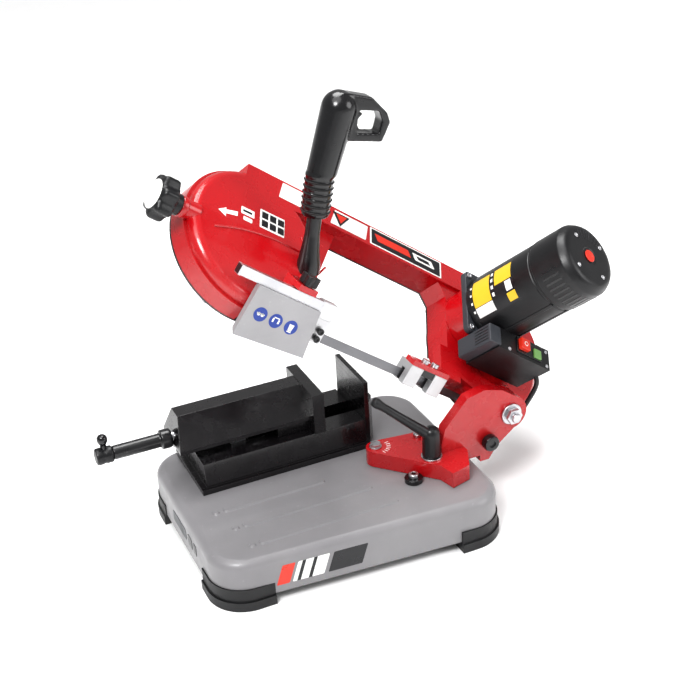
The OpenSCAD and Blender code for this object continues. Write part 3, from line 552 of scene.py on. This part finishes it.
LEVER_X, LEVER_Y = 140, -74
lever = turned(Z, at(LEVER_X, LEVER_Y, 102.3), Y)
lever_profile = [(12, 0), (13, 0.8), (13.3, 3), (12.9, 4), (12.7, 14), (12.6, 24), (12.4, 34), (12.2, 36.5),
                 (10.8, 41), (8, 44), (3, 45), (0.5, 45)]
lathe("lever_hub", lever_profile, lever, PLASTIC, "clamp_lever", steps=120, ripple=fluted(10, 0.035, 4, 34),
      cad_nodes=("clamp_lever",))
heading, rise = math.radians(171), math.radians(42)    # of the lever's arm
direction = Vector((math.cos(heading) * math.cos(rise), math.sin(heading) * math.cos(rise), math.sin(rise)))
arm_matrix = turned(direction, at(LEVER_X, LEVER_Y, 133.3))
arm_profile = [(8, 2), (8, 14), (7.4, 24), (6.6, 50), (6.0, 78), (5.8, 90), (6.4, 95), (7.1, 100), (7.2, 104),
               (6.2, 108), (3.6, 109.8), (0.6, 110.2)]
lathe("lever_arm", arm_profile, arm_matrix, PLASTIC, "clamp_lever", steps=48)
hinge_end = turned(-Y, at(268, -74, 132))
washer_profile = [(14.5, 0), (16, 0.5), (16, 3.2), (15, 4), (8, 4)]
lathe("hinge_washer_ring", washer_profile, hinge_end, STEEL, "hinge_washer", cad_nodes=("hinge_washer",))
hexagon = disc(0, 0, 12.5, 6)
prism("hinge_nut", hexagon, 4, 13, hinge_end, STEEL, "hinge_bolt", bevel=0.9, cad_nodes=("hinge_bolt",))
lathe("hinge_bolt_end", [(7, -31), (7, 17), (6.2, 18.4), (3, 18.9)], hinge_end, STEEL, "hinge_bolt", steps=40)
knob = turned(-Y, at(230, -77, 99))
knob_profile = [(10.5, 0), (12, 1), (12, 9.5), (11, 11.4), (8.4, 12), (5, 12), (4.6, 9.5)]
lathe("lock_knob_cap", knob_profile, knob, GLOSS, "lock_knob", steps=96,
      ripple=fluted(12, 0.05, 1.5, 11), cad_nodes=("lock_knob",))
lathe("lock_knob_pin", [(4.6, -18), (5, -17), (5, 0.5)], knob, STEEL, "lock_knob", steps=36)
for i in range(7):    # the lines of the mitre scale, round the swivel's pivot
    w = math.radians(-75 + 14 * i)
    outward = Vector((math.cos(w), math.sin(w), 0))
    mark = basis(outward, Z.cross(outward), Z, at(82, -12, 99))
    prism(f"mitre_mark_{i}", rectangle(16, -0.5, 22, 0.5), -0.05, 0.2, mark, WHITE, "swivel_bracket")

# ---------------------------------------------------------------- saw head
dressed("head_frame", RED, 2.6, 4, 34)
dressed("wheel_cover", BLACK_STEEL, 0.6, 2)
dressed("gear_case", RED, 2.0, 3)
dressed("head_screws", STEEL, 0.6)
for node in ("drive_wheel", "idler_wheel", "idler_bearing", "drive_gear", "armature", "tension_slide",
             "tension_screw"):
    dressed(node, CAST_STEEL, 0.4, 2)
dressed("rear_guide", CAST_STEEL, 1.0)
dressed("rear_pads", BLACK_STEEL, 0.3)
dressed("front_guide", CAST_STEEL, 1.0)
dressed("front_pads", BLACK_STEEL, 0.3)
dressed("guide_bar", STEEL, 0.8)
dressed("blade_guard", SHEET, 0.5, 2)
dressed("guide_knob", PLASTIC, 1.6)
dressed("blade", BLADE, 0)

crease = [loop(a, v, 24.4) for a, v in ((-514, 76), (-480, 88), (-449, 95), (-415, 99), (-376, 98))]
tube("housing_crease", curved(crease), 2.2 * MM, RED, "head_frame")
bolt_profile = [(3.6, -4), (3.6, 1), (4.6, 1.2), (4.6, 4.4), (3.8, 5.2), (2.2, 5.3), (2, 3.4)]
for i, b in enumerate((-6, -17)):
    bolt = turned(-Y, arm(-340, -58, b))
    lathe(f"guide_bolt_{i}", bolt_profile, bolt, BLACK_STEEL, "front_guide", steps=32)
bar_end = basis(Y, B, -U, arm(-488, 0, 0))
prism("guide_bar_cap", rectangle(-61.5, 19.5, -50.5, 31.5), -8, 0.6, bar_end, PLASTIC, "guide_bar", bevel=0.8)


def arc(centre_a, r, start, end, n):
    """A line of the loop's frame round a point of the arm level with the wheels, in steps of 4 degrees."""
    angles = [math.radians(w) for w in range(start, end, 4)]
    return [loop(centre_a + r * math.cos(w), WHEEL_R + r * math.sin(w), n) for w in angles]


tube("housing_ridge", arc(IDLER_A, 94, 96, 300, 20.5), 2.6 * MM, RED, "head_frame")
tube("housing_fold", arc(IDLER_A + 6, 72, -78, 30, 25), 1.8 * MM, RED, "head_frame")
for i, a in enumerate((-352, -345, -338)):
    rib = [loop(a - 22, 60, 25), loop(a - 8, 76, 26.5), loop(a + 4, 92, 25)]
    tube(f"handle_rib_{i}", rib, 1.6 * MM, RED, "head_frame")


def film(name, outline, material, like="head_frame", level=FRONT_N, matrix=LOOP, round_off=1.5):
    """A printed film on a flat face that stands at level in matrix."""
    shape = rounded(outline, round_off) if round_off else outline
    prism(name, shape, level - 0.1, level + FILM, matrix, material, like)


arrow = [(-509, 104), (-497, 112), (-497, 109), (-479, 114), (-479, 107), (-497, 103), (-497, 98)]
film("arrow", arrow, WHITE, round_off=0)
film("tag_a", rectangle(-474, 115, -453, 126), WHITE)
film("tag_a_mark", rectangle(-471, 119, -457, 122), BLACK_FILM, level=FRONT_N + FILM, round_off=0)
film("tag_b", rectangle(-470, 106, -456, 112), WHITE)
film("tag_c", rectangle(-444, 107, -404, 136), WHITE)
for i in range(3):
    for k in range(2):
        cell_a = -441 + 13 * i
        cell_v = 110 + 13 * k
        film(f"tag_c_cell_{i}{k}", rectangle(cell_a, cell_v, cell_a + 10, cell_v + 10), BLACK_FILM,
             level=FRONT_N + FILM, round_off=0)
film("band_white", [(-415, 170), (-372, 170), (-366, 196), (-409, 196)], WHITE)
film("band_white_long", [(-326, 170), (-262, 170), (-258, 195), (-318, 195)], WHITE)
film("band_arrow_dark", [(-322, 192), (-292, 192), (-309, 171)], BLACK_FILM, level=FRONT_N + FILM,
     round_off=0)
film("band_arrow", [(-316, 190), (-297, 190), (-308, 176)], RED_PLASTIC, level=FRONT_N + 2 * FILM,
     round_off=0)
film("panel_white", rectangle(-254, 169, -116, 197), WHITE)
film("panel_black", rectangle(-251, 171, -119, 195), BLACK_FILM, level=FRONT_N + FILM)
film("panel_red", [(-240, 178), (-176, 178), (-182, 189), (-246, 189)], RED_PLASTIC,
     level=FRONT_N + 2 * FILM)
film("panel_mark", [(-168, 178), (-130, 178), (-136, 189), (-174, 189)], WHITE, level=FRONT_N + 2 * FILM)
film("panel_mark_core", [(-162, 181), (-138, 181), (-142, 186), (-166, 186)], BLACK_FILM,
     level=FRONT_N + 3 * FILM)

# plain marks on the blade guard, each drawn about the middle of its disc
signs = (
    (disc(-2.8, 0, 2.3), disc(2.8, 0, 2.3), rectangle(-6, 0.4, 6, 1.6)),
    (rectangle(-5.4, -2.6, -3, 2.8), rectangle(3, -2.6, 5.4, 2.8), rectangle(-4.2, 3.4, 4.2, 4.8)),
    ([(-2.6, -5), (2.6, -5), (3.6, 4), (-3.6, 4)], rectangle(-3.2, -7, 3.2, -5.6)),
)
for i, (a, sign) in enumerate(zip((-434, -410, -386), signs)):
    guard = basis(U, B, -Y, arm(a, GUARD_Y, -15))
    film(f"guard_disc_{i}", disc(0, 0, 9.6), BLUE, "blade_guard", 0, guard, 0)
    for k, outline in enumerate(sign):
        film(f"guard_sign_{i}{k}", outline, WHITE, "blade_guard", FILM, guard, 0)

TENSION_N = 14.5    # the tension screw's place along the wheels' axes


def lobes(w, h):
    """The seven lobes of the tension knob."""
    return 1 + 0.11 * math.cos(7 * w) if 2.5 < h < 26 else 1


tension = turned(U, loop(-599, WHEEL_R, TENSION_N))
tension_profile = [(16, 0.4), (19, 1), (21, 1.8), (23, 2.6), (25.4, 4.6), (26.5, 8), (26.5, 20), (25.6, 23.5),
                   (22, 26), (15, 27), (14, 28), (14, 37), (13, 38), (5, 38)]
lathe("tension_knob_body", tension_profile, tension, PLASTIC, "tension_knob", steps=126, ripple=lobes,
      cad_nodes=("tension_knob",))
tension_cap = [(6, -0.9), (15.6, -0.7), (18.6, 0.2), (20, 1.6), (20.2, 3)]
lathe("tension_knob_cap", tension_cap, tension, WHITE, "tension_knob")
collar = turned(U, loop(-561, WHEEL_R, TENSION_N))
lathe("tension_collar", [(9, 0.2), (13.2, 0.4), (14.2, 2), (14.2, 7), (13.4, 9)], collar, RED, "head_frame")

# ---------------------------------------------------------------- motor and switch
MOTOR_AXIS = loop(MOTOR_A, MOTOR_V, 0)
MOTOR_R = 52        # of the motor's shell
CAP_END = 250       # the cap's end face, along the motor's axis


def at_motor(r, w_deg, n):
    """A point at radius r and angle w_deg about the motor's axis, n along it."""
    w = math.radians(w_deg)
    return loop(MOTOR_A + r * math.cos(w), MOTOR_V + r * math.sin(w), n)


def around(w_deg):
    """The outward and onward directions at angle w_deg about the motor's axis."""
    w = math.radians(w_deg)
    return U * math.cos(w) + V * math.sin(w), V * math.cos(w) - U * math.sin(w)


motor = basis(U, V, N, MOTOR_AXIS)
plate = rounded(rectangle(-50, -50, 50, 50), 9)
prism("motor_plate", plate, 56, 66, motor, DARK_GREY, "motor_body", bevel=1.2, cad_nodes=("motor_body",))
shell = [(50.4, 65.5), (52, 66.5), (52, 74), (51.2, 74.8), (51.2, 77), (52, 77.8), (52, 184), (51, 185.2),
         (51, 188.2)]
lathe("motor_shell", shell, motor, PLASTIC, "motor_body", steps=96)
cap_profile = [(51, 188.2), (52.6, 189), (53, 190.4), (53, 236), (52.2, 239), (49, 244.5), (46.4, 247.6),
               (43, 249.4), (38, 250), (24, 250), (13.5, 250), (12.5, 249.2), (2, 249.2)]
lathe("motor_cap_shell", cap_profile, motor, PLASTIC, "motor_cap", steps=96, cad_nodes=("motor_cap",))
for i in range(9):
    outward, onward = around(58 + 9 * i)
    slot = basis(outward, onward, N, MOTOR_AXIS)
    prism(f"cap_slot_{i}", rectangle(27, -1.1, 41, 1.1), CAP_END - 1.4, CAP_END + 0.35, slot, BLACK_FILM,
          "motor_cap", bevel=0.2)
for i in range(12):
    outward, onward = around(-150 + 9 * i)
    vent = basis(onward, N, outward, MOTOR_AXIS)
    prism(f"cap_vent_{i}", rectangle(-1.6, 200, 1.6, 228), 52.4, 53.3, vent, GLOSS, "motor_cap", bevel=0.3)
for i in range(4):
    w_deg = 45 + 90 * i
    cap_screw = turned(N, at_motor(34, w_deg, CAP_END - 0.4))
    lathe(f"cap_screw_{i}", [(3.4, 0), (3.2, 1.2), (1.6, 1.3), (1.4, 0.5)], cap_screw, STEEL, "motor_cap",
          steps=24)
    plate_screw = turned(N, at_motor(43 * math.sqrt(2), w_deg, 66))
    lathe(f"plate_screw_{i}", [(4.4, 0), (4.2, 2.4), (2.2, 2.5), (2.0, 0.9)], plate_screw, STEEL,
          "motor_body", steps=24)
brush_profile = [(7.6, 249.4), (9, 249.8), (9, 250.8), (8, 251.4), (3, 251.5), (2.6, 250.9), (0.5, 250.9)]
lathe("brush_cap_disc", brush_profile, motor, RED_PLASTIC, "brush_cap", steps=48, cad_nodes=("brush_cap",))
for i, w_deg in enumerate((-100, -66, 8)):
    outward, onward = around(w_deg)
    rib = basis(onward, N, outward, MOTOR_AXIS)
    prism(f"motor_rib_{i}", rectangle(-3, 80, 3, 186), 50.8, 53, rib, PLASTIC, "motor_body", bevel=1.0)


def wrap(name, w0, w1, n0, n1, r, material, steps=14):
    """A film bent round the motor between two angles, in degrees, and two heights."""
    bm = bmesh.new()
    angles = [w0 + (w1 - w0) * i / steps for i in range(steps + 1)]
    rows = [[bm.verts.new(at_motor(radius, w_deg, n)) for w_deg in angles]
            for radius in (r, r + 0.2) for n in (n0, n1)]
    for a, b in ((0, 1), (1, 3), (3, 2), (2, 0)):
        for i in range(steps):
            bm.faces.new((rows[a][i], rows[a][i + 1], rows[b][i + 1], rows[b][i]))
    for i in (0, steps):
        bm.faces.new((rows[0][i], rows[1][i], rows[3][i], rows[2][i]))
    place(soften(built(name, bm), 0), material, "motor_body")


wrap("motor_label_base", 150, 226, 73, 156, MOTOR_R, BLACK_FILM)
wrap("motor_label_yellow_a", 158, 205, 80, 112, MOTOR_R + FILM, YELLOW)
wrap("motor_label_white", 206, 222, 80, 112, MOTOR_R + FILM, WHITE)
wrap("motor_label_yellow_b", 158, 187, 122, 153, MOTOR_R + FILM, YELLOW)
wrap("motor_label_yellow_c", 208, 222, 138, 153, MOTOR_R + FILM, YELLOW)
wrap("motor_label_pale", 189, 205, 140, 151, MOTOR_R + FILM, WHITE)
for i in range(4):
    wrap(f"motor_label_dot_{i}", 160 + 12 * i, 166 + 12 * i, 115, 119, MOTOR_R + FILM, WHITE)
    wrap(f"motor_label_edge_{i}", 166 + 14 * i, 170 + 14 * i, 75, 78, MOTOR_R + FILM, WHITE)

dressed("switch_box", PLASTIC, 2.0, 3)
BOX_A = -101.8    # end of the switch box away from the hinge
prism("switch_cover", rounded(rectangle(BOX_A, 35.5, -80, 64.5), 3), 38, 101.8, LOOP, DARK_GREY, "switch_box",
      bevel=1.2)
cover_side = basis(N, V, -U, loop(BOX_A, 0, 0))
# painted shade: black film strips on the cover's end stand in for the shade inside its grooves
for i in range(5):
    groove_shade_v = 40 + 4.6 * i
    groove_shade_strip = rectangle(72, groove_shade_v, 98, groove_shade_v + 1.8)
    prism(f"switch_groove_shade_{i}", groove_shade_strip, -0.2, 0.35, cover_side, BLACK_FILM, "switch_box", bevel=0.15)
for i, (a, v) in enumerate(((-62, 38), (14, 38), (14, 61))):
    box_screw = turned(N, loop(a, v, 99.6))
    lathe(f"switch_screw_{i}", [(3, 0), (2.8, 1), (1.4, 1.1), (1.2, 0.4)], box_screw, STEEL, "switch_box",
          steps=24)
stop_at = (-36, 52)
start_at = (-8, 48)
rocker = basis(U, V, N, loop(-22, 51, 0))
bezel = rounded(rectangle(-26, -12.5, 24, 12.5), 3)
prism("switch_bezel", bezel, 99.5, 102, rocker, GLOSS, "switch_box", bevel=0.6)


def square(x, y, h):
    """A square with softened corners, h from its middle to each side."""
    return rounded(rectangle(x - h, y - h, x + h, y + h), 1.6)


prism("stop_cap", square(*stop_at, 8.6), 98, 108.5, LOOP, RED_PLASTIC, "stop_button", bevel=1.4,
      cad_nodes=("stop_button",))
prism("start_cap", square(*start_at, 7.2), 98, 104.6, LOOP, GREEN, "start_button", bevel=1.0,
      cad_nodes=("start_button",))
prism("stop_mark", disc(*stop_at, 3.6), 108.3, 108.7, LOOP, WHITE, "stop_button")
prism("stop_mark_core", disc(*stop_at, 2.4), 108.6, 108.9, LOOP, RED_PLASTIC, "stop_button")

# ---------------------------------------------------------------- handle
handle_profile = [(16, -8), (15.6, 4), (14.2, 12), (12, 28), (10.4, 42), (10, 46), (10, 80)]
lathe("handle_bar", handle_profile, HANDLE, BLACK_STEEL, "handle_tube", steps=56, cad_nodes=("handle_tube",))
moulded("handle_grip", GLOSS, 1.4, 14)
dressed("trigger", GLOSS, 1.4)
for i in range(6):
    h = 78 + 8 * i
    ring = [(16.5, h - 3.4), (18.6, h - 2), (20.3, h), (18.6, h + 0.8), (16.5, h + 1)]
    lathe(f"bellows_ring_{i}", ring, HANDLE, RUBBER, "handle_grip", steps=56)

# ---------------------------------------------------------------- studio
floor_mat = surface("floor", (0.93, 0.93, 0.93), 0.7, grain=60, bump=0.02, mottle=0.01)
floor_mesh = bpy.data.meshes.new("floor")
HALF = 60           # of the floor's side, in metres
corners = [(x, y, 0) for x, y in rectangle(-HALF, -HALF, HALF, HALF)]
floor_mesh.from_pydata(corners, [], [(0, 1, 2, 3)])
floor = linked("floor", floor_mesh)
floor_mesh.materials.append(floor_mat)

world = bpy.data.worlds.new("studio")
world.use_nodes = True
background = world.node_tree.nodes["Background"]
background.inputs["Color"].default_value = (1, 1, 1, 1)
background.inputs["Strength"].default_value = 0.42
scene.world = world
scene.view_settings.view_transform = "Standard"
scene.view_settings.look = "Medium High Contrast"
MIDDLE = Vector((0.05, 0, 0.2))
lamps = (    # name, place, size in metres, power in watts
    ("key", (-1.3, -1.2, 2.2), 0.9, 40),
    ("fill", (1.8, -1.4, 1.2), 1.4, 16),
    ("top", (0.2, 0.7, 2.4), 1.3, 32),
)
for name, spot, size, power in lamps:
    light = bpy.data.lights.new(name, "AREA")
    light.shape = "DISK"
    light.size = size
    light.energy = power
    lamp = bpy.data.objects.new(name, light)
    scene.collection.objects.link(lamp)
    lamp.location = spot
    lamp.rotation_euler = (MIDDLE - Vector(spot)).to_track_quat("-Z", "Y").to_euler()

even = bpy.data.lights.new("even", "SUN")
even.energy = 1.3
even.angle = 0.9
sky = bpy.data.objects.new("even", even)
scene.collection.objects.link(sky)
sky.rotation_euler = (0.25, -0.3, 0)
